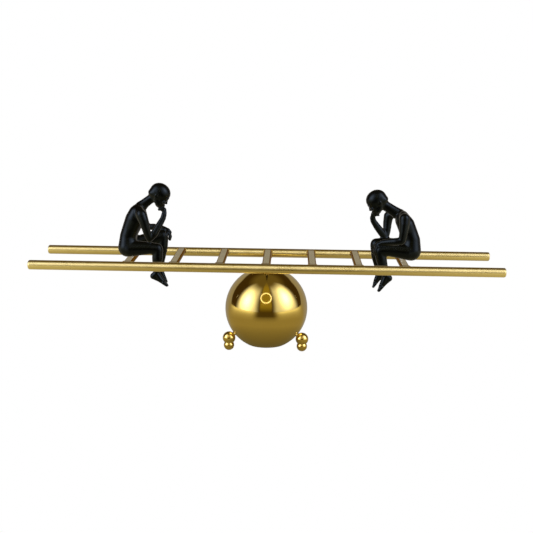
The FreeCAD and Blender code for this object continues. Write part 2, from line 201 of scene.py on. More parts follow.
def bearing_group():
    """Azimuth and elevation in degrees, and distance, of a place seen from the ball."""
    tree, n, given, result = group_tree(
        "bearing",
        [("Place", VECTOR, (0, 0, 0))],
        [("Azimuth", FLOAT), ("Elevation", FLOAT), ("Distance", FLOAT)])
    axes = n.add("ShaderNodeSeparateXYZ")
    n.join(given["Place"], axes.inputs[0])
    azimuth = n.math("ARCTAN2", axes.outputs["X"], n.math("MULTIPLY", axes.outputs["Y"], -1.0))
    length = n.add("ShaderNodeVectorMath", operation="LENGTH")
    n.join(given["Place"], length.inputs[0])
    elevation = n.math("ARCSINE", n.math("DIVIDE", axes.outputs["Z"], length.outputs["Value"]))
    n.join(n.math("MULTIPLY", azimuth, DEGREES), result["Azimuth"])
    n.join(n.math("MULTIPLY", elevation, DEGREES), result["Elevation"])
    n.join(length.outputs["Value"], result["Distance"])
    return tree


def window(n, value, centre, half, soft):
    return use_group(n, "window", Value=value, Centre=centre, Half=half, Soft=soft)["Mask"]


def floor_material():
    """Pale floor: even white seen directly, a lit table top in the brass."""
    material, n = new_material("pale_floor")
    place = n.add("ShaderNodeTexCoord").outputs["Object"]
    bearing = use_group(n, "bearing", Place=place)
    around = n.math("ABSOLUTE", bearing["Azimuth"])
    distance = bearing["Distance"]
    near = n.ramp(distance, *CONTACT_SHADE)
    sides = n.math("MULTIPLY", window(n, around, *TABLE_SIDES), n.ramp(distance, *TABLE_SIDES_START))
    front = n.math("MULTIPLY", window(n, around, *TABLE_FRONT), n.ramp(distance, *TABLE_FRONT_START))
    light = n.blend(sides, TABLE_LIGHT, BRIGHT_TABLE_LIGHT)
    light = n.blend(window(n, around, *TABLE_BACK), light, BACKDROP_LIGHT)
    light = n.blend(front, light, SHADE_LIGHT)
    light = n.blend(near, (0, 0, 0, 1), light)
    table = n.add("ShaderNodeEmission")
    n.join(light, table.inputs["Color"])
    seen = n.add("ShaderNodeEmission")
    seen.inputs["Color"].default_value = (1.0, 1.0, 1.0, 1)
    path = n.add("ShaderNodeLightPath")
    mix = n.add("ShaderNodeMixShader")
    n.join(path.outputs["Is Camera Ray"], mix.inputs[0])
    n.join(table.outputs[0], mix.inputs[1])
    n.join(seen.outputs[0], mix.inputs[2])
    output = n.add("ShaderNodeOutputMaterial")
    n.join(mix.outputs[0], output.inputs[0])
    return material


def make_floor():
    deselect()
    bpy.ops.mesh.primitive_plane_add(size=FLOOR_SIZE, location=(0, 0, 0))
    floor = bpy.context.object
    floor.name = "floor"
    floor.data.materials.append(floor_material())


def swell(n, value, centre, width):
    """A smooth hump, 1 at the centre."""
    offset = n.math("DIVIDE", n.math("SUBTRACT", value, centre), width)
    return n.math("POWER", 0.5, n.math("MULTIPLY", offset, offset))


def softbox(n, light, bearing, centre, half, lift, half_lift, hot_centre, hot_lift):
    """A large soft panel with a hot middle, laid over the light so far."""
    azimuth, elevation = bearing["Azimuth"], bearing["Elevation"]
    across = window(n, azimuth, centre, half, PANEL_SOFT)
    upwards = window(n, elevation, lift, half_lift, PANEL_SOFT_LIFT)
    panel = n.math("MULTIPLY", across, upwards)
    hot = n.math("MULTIPLY", swell(n, azimuth, hot_centre, HOT_WIDTH),
                 swell(n, elevation, hot_lift, HOT_HEIGHT))
    strength = n.math("MULTIPLY", panel, n.math("ADD", n.math("MULTIPLY", hot, HOT_PEAK), PANEL_LEVEL))
    return add_light(n, light, strength, SOFTBOX_COLOUR)


def add_light(n, light, strength, colour):
    scale = n.add("ShaderNodeVectorMath", operation="SCALE")
    scale.inputs[0].default_value = colour[:3]
    n.feed(scale.inputs["Scale"], strength)
    total = n.add("ShaderNodeVectorMath", operation="ADD")
    n.join(light, total.inputs[0])
    n.join(scale.outputs[0], total.inputs[1])
    return total.outputs[0]


def ring_mask(n, place, azimuth, elevation, radius, half_width):
    """1 on a ring of the given angular radius round a direction."""
    towards = n.add("ShaderNodeVectorMath", operation="DOT_PRODUCT")
    n.join(place, towards.inputs[0])
    towards.inputs[1].default_value = direction(azimuth, elevation)
    angle = n.math("MULTIPLY", n.math("ARCCOSINE", towards.outputs["Value"]), DEGREES)
    return window(n, angle, radius, half_width, half_width * RING_SOFT_SHARE)


def direction(azimuth, elevation):
    """A unit vector; azimuth 0 points at the viewer's side and grows to the right."""
    flat = math.cos(math.radians(elevation))
    return Vector((flat * math.sin(math.radians(azimuth)),
                   -flat * math.cos(math.radians(azimuth)),
                   math.sin(math.radians(elevation))))


def make_world():
    """White behind the object for the camera; a studio with two softboxes for the brass."""
    world = bpy.data.worlds.new("studio")
    bpy.context.scene.world = world
    world.use_nodes = True
    world.node_tree.nodes.clear()
    n = Nodes(world.node_tree)
    place = n.add("ShaderNodeTexCoord").outputs["Generated"]
    bearing = use_group(n, "bearing", Place=place)
    azimuth, elevation = bearing["Azimuth"], bearing["Elevation"]
    around = n.math("ABSOLUTE", azimuth)
    light = n.blend(n.ramp(elevation, *CEILING_START), ROOM_LIGHT, CEILING_LIGHT)
    paper_half = n.ramp(elevation, *BACKDROP_HALF_WIDTH)
    paper = n.math("MULTIPLY", window(n, around, BEHIND, paper_half, BACKDROP_SOFT),
                   window(n, elevation, *BACKDROP_HEIGHT))
    light = n.blend(paper, light, BACKDROP_LIGHT)
    wall = n.math("MULTIPLY", window(n, azimuth, *FRONT_WALL_WIDTH), window(n, elevation, *FRONT_WALL_HEIGHT))
    light = n.blend(wall, light, FRONT_LIGHT)
    boom_half = n.ramp(elevation, *BOOM_HALF_WIDTH)
    boom = n.math("MULTIPLY", window(n, around, BEHIND, boom_half, BOOM_SOFT), n.ramp(elevation, *BOOM_START))
    light = n.blend(boom, light, BOOM_LIGHT)
    light = softbox(n, light, bearing, **LEFT_PANEL)
    light = softbox(n, light, bearing, **RIGHT_PANEL)
    ring = ring_mask(n, place, RING_AZIMUTH, RING_ELEVATION, RING_RADIUS, RING_HALF_WIDTH)
    light = add_light(n, light, n.math("MULTIPLY", ring, RING_STRENGTH), RING_COLOUR)
    path = n.add("ShaderNodeLightPath")
    colour = n.blend(path.outputs["Is Camera Ray"], light, (1.0, 1.0, 1.0, 1))
    background = n.add("ShaderNodeBackground")
    n.join(colour, background.inputs["Color"])
    output = n.add("ShaderNodeOutputWorld")
    n.join(background.outputs[0], output.inputs[0])


def make_studio():
    make_world()
    make_floor()
    bpy.context.scene.view_settings.view_transform = "Standard"


# ---- materials -----------------------------------------------------------------

def group_tree(name, inputs, outputs):
    """An empty shader group with named inputs and outputs."""
    tree = bpy.data.node_groups.new(name, "ShaderNodeTree")
    for socket, kind, default in inputs:
        made = tree.interface.new_socket(name=socket, in_out="INPUT", socket_type=kind)
        made.default_value = default
    for socket, kind in outputs:
        tree.interface.new_socket(name=socket, in_out="OUTPUT", socket_type=kind)
    n = Nodes(tree)
    return tree, n, n.add("NodeGroupInput").outputs, n.add("NodeGroupOutput").inputs


FLOAT = "NodeSocketFloat"
VECTOR = "NodeSocketVector"

# How far gloss patches and dust change a surface.
PATCH_TINT = 0.2
BRASS_SMOOTHEST = 0.88
BRASS_DULLEST = 1.15
BRASS_DUST = 0.1
BRASS_BUMP = 0.00001
PLAIN_SMOOTHEST = 0.85
PLAIN_DULLEST = 1.25
PLAIN_DUST = 0.08
PLAIN_BUMP = 0.00003
LINE_TURN_RADIUS = 0.035


def fine_lines_group():
    """Brushing: noise stretched along one axis, at a scale per metre on each axis."""
    tree, n, given, result = group_tree(
        "fine_lines",
        [("Place", VECTOR, (0, 0, 0)), ("Scale", VECTOR, (1, 1, 1)), ("Depth", FLOAT, 0.5)],
        [("Height", FLOAT), ("Tone", FLOAT)])
    stretch = n.add("ShaderNodeVectorMath", operation="MULTIPLY")
    n.join(given["Place"], stretch.inputs[0])
    n.join(given["Scale"], stretch.inputs[1])
    fine = n.add("ShaderNodeTexNoise")
    fine.inputs["Scale"].default_value = 1.0
    fine.inputs["Detail"].default_value = 3.0
    n.join(stretch.outputs[0], fine.inputs["Vector"])
    spread = n.ramp(fine.outputs["Fac"], 0.3, 0.7)
    n.join(n.math("MULTIPLY", spread, given["Depth"]), result["Height"])
    n.join(spread, result["Tone"])
    return tree


def handling_group():
    """Slow changes of gloss, as from handling and lacquer, and faint dust specks."""
    tree, n, given, result = group_tree(
        "handling",
        [("Place", VECTOR, (0, 0, 0)), ("Patch Scale", FLOAT, 60.0), ("Speck Scale", FLOAT, 900.0)],
        [("Patches", FLOAT), ("Specks", FLOAT)])
    slow = n.add("ShaderNodeTexNoise")
    slow.inputs["Detail"].default_value = 4.0
    slow.inputs["Roughness"].default_value = 0.6
    n.join(given["Place"], slow.inputs["Vector"])
    n.join(given["Patch Scale"], slow.inputs["Scale"])
    n.join(n.ramp(slow.outputs["Fac"], 0.35, 0.7), result["Patches"])
    specks = n.add("ShaderNodeTexVoronoi", feature="F1")
    n.join(given["Place"], specks.inputs["Vector"])
    n.join(given["Speck Scale"], specks.inputs["Scale"])
    n.join(n.ramp(specks.outputs["Distance"], 0.05, 0.16, 1.0, 0.0), result["Specks"])
    return tree


GROUPS = {"lines": fine_lines_group(), "handling": handling_group(), "window": window_group(),
          "bearing": bearing_group()}


def use_group(n, name, **values):
    node = n.add("ShaderNodeGroup")
    node.node_tree = GROUPS[name]
    for socket, value in values.items():
        n.feed(node.inputs[socket.replace("_", " ")], value)
    return node.outputs


def brass_material(name, colour, deep_colour, roughness, line_scale, line_depth, tone=0.15, round_axis=False,
                   anisotropy=0.0, coat=0.5, edge=(1, 1, 1, 1)):
    """Lacquered brass with brushing, gloss patches and a little dust."""
    material, n = new_material(name)
    place = n.add("ShaderNodeTexCoord").outputs["Object"]
    if round_axis:
        place_for_lines = turned_place(n, place)
    else:
        place_for_lines = place
    lines = use_group(n, "lines", Place=place_for_lines, Scale=line_scale, Depth=1.0)
    handling = use_group(n, "handling", Place=place)
    colour_now = n.blend(n.math("MULTIPLY", lines["Tone"], tone), colour, deep_colour)
    colour_now = n.blend(n.math("MULTIPLY", handling["Patches"], PATCH_TINT), colour_now, deep_colour)
    rough = n.ramp(handling["Patches"], 0.0, 1.0, roughness * BRASS_SMOOTHEST, roughness * BRASS_DULLEST)
    rough = n.math("ADD", rough, n.math("MULTIPLY", handling["Specks"], BRASS_DUST))
    bump = n.add("ShaderNodeBump")
    bump.inputs["Strength"].default_value = line_depth
    bump.inputs["Distance"].default_value = BRASS_BUMP
    n.join(lines["Height"], bump.inputs["Height"])
    shader = n.add("ShaderNodeBsdfPrincipled")
    shader.inputs["Metallic"].default_value = 1.0
    shader.inputs["Coat Weight"].default_value = coat
    shader.inputs["Coat Roughness"].default_value = 0.04
    shader.inputs["Specular Tint"].default_value = edge
    n.join(colour_now, shader.inputs["Base Color"])
    n.join(rough, shader.inputs["Roughness"])
    n.join(bump.outputs[0], shader.inputs["Normal"])
    if anisotropy:
        tangent = n.add("ShaderNodeTangent", direction_type="RADIAL", axis="X")
        n.join(tangent.outputs[0], shader.inputs["Tangent"])
        shader.inputs["Anisotropic"].default_value = anisotropy
        shader.inputs["Anisotropic Rotation"].default_value = 0.25
    output = n.add("ShaderNodeOutputMaterial")
    n.join(shader.outputs[0], output.inputs[0])
    return material


def turned_place(n, place):
    """Coordinates round the Z axis: the way round, as a length, and the height."""
    axes = n.add("ShaderNodeSeparateXYZ")
    n.join(place, axes.inputs[0])
    angle = n.math("ARCTAN2", axes.outputs["Y"], axes.outputs["X"])
    angle = n.math("MULTIPLY", angle, LINE_TURN_RADIUS)
    joined = n.add("ShaderNodeCombineXYZ")
    n.join(angle, joined.inputs[0])
    n.join(axes.outputs["Z"], joined.inputs[2])
    return joined.outputs[0]


BRASS = (0.86, 0.64, 0.185, 1)
DEEP_BRASS = (0.72, 0.49, 0.11, 1)


def plain_material(name, colour, other_colour, roughness, metallic, scale, bump_strength=0.2, gloss=0.5,
                   tint=(1, 1, 1, 1)):
    """Small hidden or black parts: grain in colour and height, gloss patches."""
    material, n = new_material(name)
    place = n.add("ShaderNodeTexCoord").outputs["Object"]
    handling = use_group(n, "handling", Place=place, Patch_Scale=scale, Speck_Scale=scale * 12)
    shader = n.add("ShaderNodeBsdfPrincipled")
    shader.inputs["Metallic"].default_value = metallic
    shader.inputs["Specular IOR Level"].default_value = gloss
    shader.inputs["Specular Tint"].default_value = tint
    n.join(n.blend(handling["Patches"], colour, other_colour), shader.inputs["Base Color"])
    rough = n.ramp(handling["Patches"], 0.0, 1.0, roughness * PLAIN_SMOOTHEST, roughness * PLAIN_DULLEST)
    rough = n.math("ADD", rough, n.math("MULTIPLY", handling["Specks"], PLAIN_DUST))
    n.join(rough, shader.inputs["Roughness"])
    bump = n.add("ShaderNodeBump")
    bump.inputs["Strength"].default_value = bump_strength
    bump.inputs["Distance"].default_value = PLAIN_BUMP
    n.join(handling["Patches"], bump.inputs["Height"])
    n.join(bump.outputs[0], shader.inputs["Normal"])
    output = n.add("ShaderNodeOutputMaterial")
    n.join(shader.outputs[0], output.inputs[0])
    return material


MATERIALS = {
    "satin_brass": brass_material("satin_brass", BRASS, DEEP_BRASS, 0.085, (300, 1, 9000), 0.05,
                                  round_axis=True),
    "polished_brass": brass_material("polished_brass", (0.95, 0.79, 0.37, 1), (0.86, 0.66, 0.27, 1), 0.3,
                                     (3, 2500, 2500), 0.01, anisotropy=0.93, coat=0.0),
    "mirror_brass": brass_material("mirror_brass", BRASS, DEEP_BRASS, 0.1, (900, 900, 900), 0.03),
    # Pale brushed brass: on the rungs' top faces its pale colour is brushed grain plus painted light.
    "brushed_brass": brass_material("brushed_brass", (1.0, 0.92, 0.60, 1), (0.66, 0.54, 0.28, 1), 0.27,
                                    (7000, 900, 7000), 0.5, tone=0.75, coat=0.2),
    # Darker brass for the rungs' sides, bevels and braze: painted shade, where these faces mirror the dark
    # room.
    "shaded_side_brass": brass_material("shaded_side_brass", (0.50, 0.32, 0.07, 1), (0.30, 0.17, 0.03, 1), 0.2,
                                 (900, 7000, 900), 0.1, tone=0.4, coat=0.0, edge=(0.5, 0.3, 0.06, 1)),
    "plain_brass": brass_material("plain_brass", BRASS, DEEP_BRASS, 0.25, (4000, 4000, 4000), 0.2),
    "black_gloss": plain_material("black_gloss", (0.0006, 0.0008, 0.001, 1), (0.0012, 0.0015, 0.0018, 1),
                                  0.27, 0.0, 90.0, 0.06, gloss=0.25, tint=(0.68, 0.84, 1.0, 1)),
    "cast_iron": plain_material("cast_iron", (0.05, 0.05, 0.052, 1), (0.11, 0.11, 0.11, 1),
                                0.7, 0.6, 500.0, 0.8),
    "zinc_steel": plain_material("zinc_steel", (0.55, 0.56, 0.58, 1), (0.45, 0.46, 0.49, 1),
                                 0.3, 1.0, 400.0),
    "bearing_plastic": plain_material("bearing_plastic", (0.75, 0.74, 0.7, 1), (0.66, 0.65, 0.6, 1),
                                      0.5, 0.0, 200.0),
}


def finish_cad_nodes():
    for part in frame["record"]["subparts"]:
        mesh = frame["nodes"][part["node"]].data
        mesh.materials.clear()
        mesh.materials.append(MATERIALS[part["material_slot"]])


# ---- modelling helpers -----------------------------------------------------------

def start_piece(name):
    """Names the primitive just added and settles its place into its mesh."""
    piece = bpy.context.object
    piece.name = name
    piece.data.name = name
    bpy.ops.object.transform_apply(location=True, rotation=True, scale=True)
    return piece


def select_faces(piece, wanted):
    """In edit mode: selects the faces for which wanted(centre, normal) is true."""
    bpy.ops.mesh.select_mode(type="FACE")
    mesh = bmesh.from_edit_mesh(piece.data)
    for face in mesh.faces:
        face.select_set(bool(wanted(face.calc_center_median(), face.normal)))
    mesh.select_flush_mode()
    bmesh.update_edit_mesh(piece.data)


def select_edges(piece, wanted):
    """In edit mode: selects the edges for which wanted(one end, other end) is true."""
    bpy.ops.mesh.select_mode(type="EDGE")
    mesh = bmesh.from_edit_mesh(piece.data)
    for edge in mesh.edges:
        edge.select_set(bool(wanted(edge.verts[0].co, edge.verts[1].co)))
    mesh.select_flush_mode()
    bmesh.update_edit_mesh(piece.data)


def apply_modifier(piece, kind, **settings):
    modifier = piece.modifiers.new(kind.lower(), kind)
    for name, value in settings.items():
        setattr(modifier, name, value)
    deselect()
    piece.select_set(True)
    bpy.context.view_layer.objects.active = piece
    bpy.ops.object.modifier_apply(modifier=modifier.name)


def finish_piece(piece, material, body, *nodes, angle=40.0):
    deselect()
    piece.select_set(True)
    bpy.context.view_layer.objects.active = piece
    bpy.ops.object.shade_smooth_by_angle(angle=math.radians(angle))
    piece.data.materials.clear()
    piece.data.materials.append(MATERIALS[material])
    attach(piece, body)
    piece.visible_glossy = body != "ladder"
    if nodes:
        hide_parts(*nodes)


# ---- ladder ----------------------------------------------------------------------

ROUND_SIDES = 72
CAP_EDGE = 1.5 * MM
RUNG_EDGE = 1.3 * MM
# Rung faces pointing up more than this get the pale top colour, which is painted light on the top.
RUNG_TOP_SLOPE = 0.985
BRAZE_REACH = 1.7 * MM
BRAZE_EXTRA_WIDTH = 1.3 * MM
BRAZE_EXTRA_DEPTH = 0.5 * MM
BRAZE_ROUNDING = 0.75 * MM
BRAZE_SINK = 0.1 * MM
VENT_RADIUS = 0.6 * MM
VENT_FROM_RAIL = 7.0 * MM
VENT_CUTTER = 3 * MM
SLOT_HALF_LENGTH = 2.5 * MM
SLOT_HALF_WIDTH = 2.3 * MM
SLOT_CUTTER = 4 * MM
SADDLE_CUTTER = 0.05


def make_rail(which):
    """A round rail with softly rounded, closed ends."""
    nodes = [f"{which}_rail", f"{which}_rail_left_cap", f"{which}_rail_right_cap"]
    tube_low, tube_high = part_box(nodes[0])
    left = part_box(nodes[1])[0].x
    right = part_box(nodes[2])[1].x
    centre = (tube_low + tube_high) / 2
    radius = (tube_high.z - tube_low.z) / 2
    deselect()
    bpy.ops.mesh.primitive_cylinder_add(vertices=ROUND_SIDES, radius=radius, depth=right - left,
                                        location=(0, centre.y, centre.z), rotation=(0, math.pi / 2, 0))
    rail = start_piece(f"{which}_rail_bar")
    bpy.ops.object.mode_set(mode="EDIT")
    select_faces(rail, lambda place, normal: abs(normal.x) > 0.9)
    bpy.ops.mesh.bevel(offset=CAP_EDGE, segments=8, affect="EDGES")
    bpy.ops.object.mode_set(mode="OBJECT")
    finish_piece(rail, "polished_brass", "ladder", *nodes)


def rail_axis(which):
    low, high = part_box(f"{which}_rail")
    return (low + high) / 2, (high.z - low.z) / 2


def make_rung(number):
    """A bar with rounded edges and braze at its ends, cut to fit the round rails."""
    low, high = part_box(f"rung_{number}")
    centre = (low + high) / 2
    front, rail_radius = rail_axis("front")
    rear = rail_axis("rear")[0]
    deselect()
    bpy.ops.mesh.primitive_cube_add(size=1, location=centre,
                                    scale=(high.x - low.x, rear.y - front.y, high.z - low.z))
    rung = start_piece(f"rung_bar_{number}")
    bpy.ops.object.mode_set(mode="EDIT")
    select_edges(rung, lambda a, b: abs(a.y - b.y) > 0.01)
    bpy.ops.mesh.bevel(offset=RUNG_EDGE, segments=6, affect="EDGES")
    bpy.ops.object.mode_set(mode="OBJECT")
    for rail in (front, rear):
        inwards = 1 if rail.y < 0 else -1
        bead_y = rail.y + inwards * (rail_radius - BRAZE_SINK)
        add_braze(rung, Vector((centre.x, bead_y, centre.z)), low, high)
    for rail in (front, rear):
        bpy.ops.mesh.primitive_cylinder_add(vertices=ROUND_SIDES, radius=rail_radius, depth=SADDLE_CUTTER,
                                            location=(centre.x, rail.y, rail.z), rotation=(0, math.pi / 2, 0))
        cut_away(rung, bpy.context.object)
    return rung


def add_braze(rung, place, low, high):
    """A rounded fillet of braze all round the end of the rung."""
    width = high.x - low.x + BRAZE_EXTRA_WIDTH
    depth = high.z - low.z + BRAZE_EXTRA_DEPTH
    bpy.ops.mesh.primitive_cube_add(size=1, location=place, scale=(width, BRAZE_REACH, depth))
    bead = start_piece("braze")
    bpy.ops.object.mode_set(mode="EDIT")
    bpy.ops.mesh.select_all(action="SELECT")
    bpy.ops.mesh.bevel(offset=BRAZE_ROUNDING, segments=4, affect="EDGES")
    bpy.ops.object.mode_set(mode="OBJECT")
    apply_modifier(rung, "BOOLEAN", operation="UNION", object=bead, solver="EXACT")
    bpy.data.objects.remove(bead)


def cut_away(piece, cutter):
    apply_modifier(piece, "BOOLEAN", operation="DIFFERENCE", object=cutter, solver="EXACT")
    bpy.data.objects.remove(cutter)


def copy_piece(piece, name):
    deselect()
    piece.select_set(True)
    bpy.context.view_layer.objects.active = piece
    bpy.ops.object.duplicate(linked=False)
    copied = bpy.context.object
    copied.name = name
    copied.data.name = name
    return copied


def open_middle_rung(rung):
    """The vent on top and the slot for the post underneath, both blind in this solid bar."""
    low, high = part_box("rung_4")
    vent_y = rail_axis("front")[0].y + VENT_FROM_RAIL
    bpy.ops.mesh.primitive_cylinder_add(vertices=32, radius=VENT_RADIUS, depth=VENT_CUTTER,
                                        location=(0, vent_y, high.z))
    cut_away(rung, bpy.context.object)
    bpy.ops.mesh.primitive_cube_add(size=1, location=(0, 0, low.z),
                                    scale=(2 * SLOT_HALF_LENGTH, 2 * SLOT_HALF_WIDTH, SLOT_CUTTER))
    cut_away(rung, bpy.context.object)


def make_rungs():
    first = make_rung(1)
    middle = make_rung(4)
    open_middle_rung(middle)
    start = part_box("rung_1")[0].x
    rungs = {1: first, 4: middle}
    for number in (2, 3, 5, 6, 7):
        rung = copy_piece(first, f"rung_bar_{number}")
        bpy.ops.transform.translate(value=(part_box(f"rung_{number}")[0].x - start, 0, 0))
        bpy.ops.object.transform_apply(location=True, rotation=True, scale=True)
        rungs[number] = rung
    # The sides and bevels keep the darker brass, which is painted shade; top faces take the pale brushed
    # brass, which is brushed grain plus painted light.
    for number, rung in rungs.items():
        finish_piece(rung, "shaded_side_brass", "ladder", f"rung_{number}")
        rung.data.materials.append(MATERIALS["brushed_brass"])
        for face in rung.data.polygons:
            if face.normal.z > RUNG_TOP_SLOPE:
                face.material_index = 1


# ---- ball and feet -----------------------------------------------------------------

BALL_WALL = 1.2 * MM
BUSH_RADIUS = 3.0 * MM
FOOT_FLAT = 0.15 * MM
STUD_RADIUS = 1.8 * MM
STUD_INTO_BALL = 0.6 * MM
STUD_INTO_FOOT = 2.0 * MM


def make_ball():
    """A hollow ball, cut flat underneath and flattened on top round the bush."""
    low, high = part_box("ball_lower_shell")
    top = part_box("ball_upper_shell")[1].z
    radius = (high.x - low.x) / 2
    centre_z = high.z
    deselect()
    bpy.ops.mesh.primitive_uv_sphere_add(segments=160, ring_count=80, radius=radius,
                                         location=(0, 0, centre_z))
    ball = start_piece("brass_ball")
    bpy.ops.object.mode_set(mode="EDIT")
    bpy.ops.mesh.select_all(action="SELECT")
    bpy.ops.mesh.bisect(plane_co=(0, 0, low.z), plane_no=(0, 0, -1), clear_outer=True)
    bpy.ops.mesh.select_all(action="SELECT")
    bpy.ops.mesh.bisect(plane_co=(0, 0, top), plane_no=(0, 0, 1), clear_outer=True, use_fill=True)
    select_faces(ball, lambda place, normal: place.z > top - 0.01 * MM and normal.z > 0.99)
    seat_radius = math.sqrt(radius ** 2 - (top - centre_z) ** 2)
    bpy.ops.mesh.inset(thickness=seat_radius - BUSH_RADIUS)
    bpy.ops.mesh.delete(type="FACE")
    bpy.ops.object.mode_set(mode="OBJECT")
    apply_modifier(ball, "SOLIDIFY", thickness=BALL_WALL, offset=-1.0)
    finish_piece(ball, "satin_brass", "stand", "ball_upper_shell", "ball_lower_shell")


def foot_sphere(node, joint_z, keep_above):
    """One ball of a foot, cut flat where it meets the other."""
    low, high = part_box(node)
    radius = (high.x - low.x) / 2
    centre = Vector(((low.x + high.x) / 2, (low.y + high.y) / 2, 0))
    centre.z = high.z - radius if keep_above else low.z + radius - FOOT_FLAT
    bpy.ops.mesh.primitive_uv_sphere_add(segments=64, ring_count=48, radius=radius, location=centre)
    sphere = start_piece("foot_ball")
    bpy.ops.object.mode_set(mode="EDIT")
    bpy.ops.mesh.select_all(action="SELECT")
    bpy.ops.mesh.bisect(plane_co=(0, 0, joint_z), plane_no=(0, 0, -1 if keep_above else 1),
                        clear_outer=True, use_fill=True)
    if not keep_above:
        bpy.ops.mesh.select_all(action="SELECT")
        bpy.ops.mesh.bisect(plane_co=(0, 0, low.z), plane_no=(0, 0, -1), clear_outer=True, use_fill=True)
    bpy.ops.object.mode_set(mode="OBJECT")
    return sphere


def make_foot():
    """The rear foot: two balls and the stud that holds them to the large ball."""
    deselect()
    joint_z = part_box("foot_upper_ball_rear")[0].z
    upper = foot_sphere("foot_upper_ball_rear", joint_z, True)
    lower = foot_sphere("foot_lower_ball_rear", joint_z, False)
    upper_low, upper_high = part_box("foot_upper_ball_rear")
    ball_low, ball_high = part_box("ball_lower_shell")
    end = Vector((0, (upper_low.y + upper_high.y) / 2, upper_high.z - (upper_high.x - upper_low.x) / 2))
    start = Vector((0, 0, ball_high.z))
    along = (end - start).normalized()
    reach = (end - start).length
    from_ball = start + along * ((ball_high.x - ball_low.x) / 2 - STUD_INTO_BALL)
    to_foot = start + along * (reach - STUD_INTO_FOOT)
    bpy.ops.mesh.primitive_cylinder_add(vertices=40, radius=STUD_RADIUS, depth=(to_foot - from_ball).length,
                                        location=(from_ball + to_foot) / 2,
                                        rotation=along.to_track_quat("Z", "Y").to_euler())
    stud = start_piece("foot_stud_neck")
    return join_clay([upper, lower, stud], "foot_rear_balls")


def make_feet():
    """One foot, and two copies turned about the ball's axis."""
    rear = make_foot()
    feet = [(rear, "rear")]
    for name, angle in (("left", 120.0), ("right", -120.0)):
        foot = copy_piece(rear, f"foot_{name}_balls")
        bpy.ops.transform.rotate(value=-math.radians(angle), orient_axis="Z", center_override=(0, 0, 0))
        bpy.ops.object.transform_apply(location=True, rotation=True, scale=True)
        feet.append((foot, name))
    for foot, name in feet:
        finish_piece(foot, "mirror_brass", "stand", f"foot_upper_ball_{name}", f"foot_lower_ball_{name}",
                     f"foot_stud_{name}")
        foot.visible_glossy = False


# ---- figures -----------------------------------------------------------------------
#
# Each figure is built up like clay: tapered strokes and rounded lumps, joined,
# remeshed and smoothed.  A place is (distance from its rung, sideways, height
# above the seat) in millimetres; the first number grows the way the figure
# faces, and sideways is + towards the rear rail.

CLAY_VOXEL = 0.55 * MM
CLAY_SMOOTHING = 10
SKIN_VOXEL = 0.36 * MM
SKIN_SMOOTHING = 3
SKIN_SMOOTHING_STRENGTH = 0.4
LEFT_FIGURE_Y = -3.0 * MM
RIGHT_FIGURE_Y = 4.0 * MM
EAR_RIM_RADIUS = 0.42

LEFT_BODY = [
    [(-3.4, 4.6, 7.4, 8.5), (-3.4, 4.0, 16.5, 7.0), (-0.9, 3.9, 24.0, 7.2),
     (2.4, 4.2, 31.8, 7.9), (4.6, 4.0, 37.0, 7.2)],
    [(-3.4, -4.6, 7.4, 8.5), (-3.4, -4.0, 16.5, 7.0), (-0.9, -3.9, 24.0, 7.2),
     (2.4, -4.2, 31.8, 7.9), (4.6, -4.0, 37.0, 7.2)],
    [(-3.3, 0.0, 10.0, 7.9), (-3.3, 0.0, 16.5, 6.8), (-0.9, 0.0, 24.0, 7.0),
     (2.4, 0.0, 31.8, 7.7), (4.6, 0.0, 37.0, 7.0)],
    [(7.0, 4.4, 33.5, 5.0), (3.2, 2.6, 25.0, 4.6), (-1.8, 0.0, 16.0, 5.0)],
    [(7.0, -4.4, 33.5, 5.0), (3.2, -2.6, 25.0, 4.6), (-1.8, 0.0, 16.0, 5.0)],
    [(5.0, -3.0, 41.6, 3.6), (7.2, -7.5, 40.0, 3.8), (9.0, -11.2, 37.6, 4.3)],
    [(5.0, 3.0, 41.6, 3.6), (6.0, 7.5, 39.4, 3.6), (6.4, 11.0, 36.6, 4.2)],
    [(7.6, 0.0, 42.0, 5.2), (11.2, 0.0, 45.4, 4.2), (16.2, 0.0, 49.2, 4.0), (20.0, 0.0, 51.5, 4.4)],
]
LEFT_NEAR_ARM = [
    [(9.6, -11.6, 36.8, 4.6), (11.4, -12.2, 32.5, 4.3), (12.9, -11.8, 26.5, 3.7),
     (14.4, -10.6, 20.5, 3.3), (16.0, -9.2, 15.8, 2.9)],
    [(16.2, -9.0, 15.6, 2.8), (19.8, -7.6, 19.8, 3.3), (23.8, -5.6, 26.8, 3.0),
     (27.2, -3.8, 33.0, 2.5), (28.0, -3.0, 36.6, 2.4)],
]
LEFT_FAR_ARM = [
    [(6.4, 11.6, 36.2, 4.4), (8.4, 12.2, 30.0, 3.8), (11.0, 12.4, 22.8, 3.0)],
    [(11.2, 12.3, 22.6, 2.9), (17.0, 11.2, 23.2, 2.9), (24.0, 9.6, 22.6, 2.4), (27.6, 8.6, 21.6, 2.2)],
]
LEFT_LEGS = [
    [(-1.6, -6.2, 6.6, 7.4), (7.0, -6.6, 7.0, 6.4), (15.0, -6.8, 7.3, 5.5), (22.4, -6.7, 6.8, 4.7)],
    [(23.0, -6.7, 5.8, 4.5), (22.4, -6.6, -1.6, 4.7), (22.0, -6.5, -8.0, 3.8), (21.6, -6.4, -14.2, 2.7)],
    [(-1.0, 6.2, 7.4, 7.0), (8.0, 6.8, 10.6, 6.5), (17.0, 7.2, 13.6, 5.9), (25.2, 7.3, 15.8, 5.2)],
    [(25.8, 7.3, 15.2, 4.7), (25.4, 6.9, 6.5, 4.6), (24.4, 6.6, -3.0, 3.6), (23.2, 6.4, -13.6, 2.4)],
]
LEFT_FEET = [
    ((21.4, -6.4, -15.0), (18.8, -6.4, -17.4), (31.6, -6.0, -25.2), 1.14),
    ((23.4, 6.4, -14.2), (21.0, 6.4, -16.6), (29.6, 5.8, -24.4), 1.0),
]
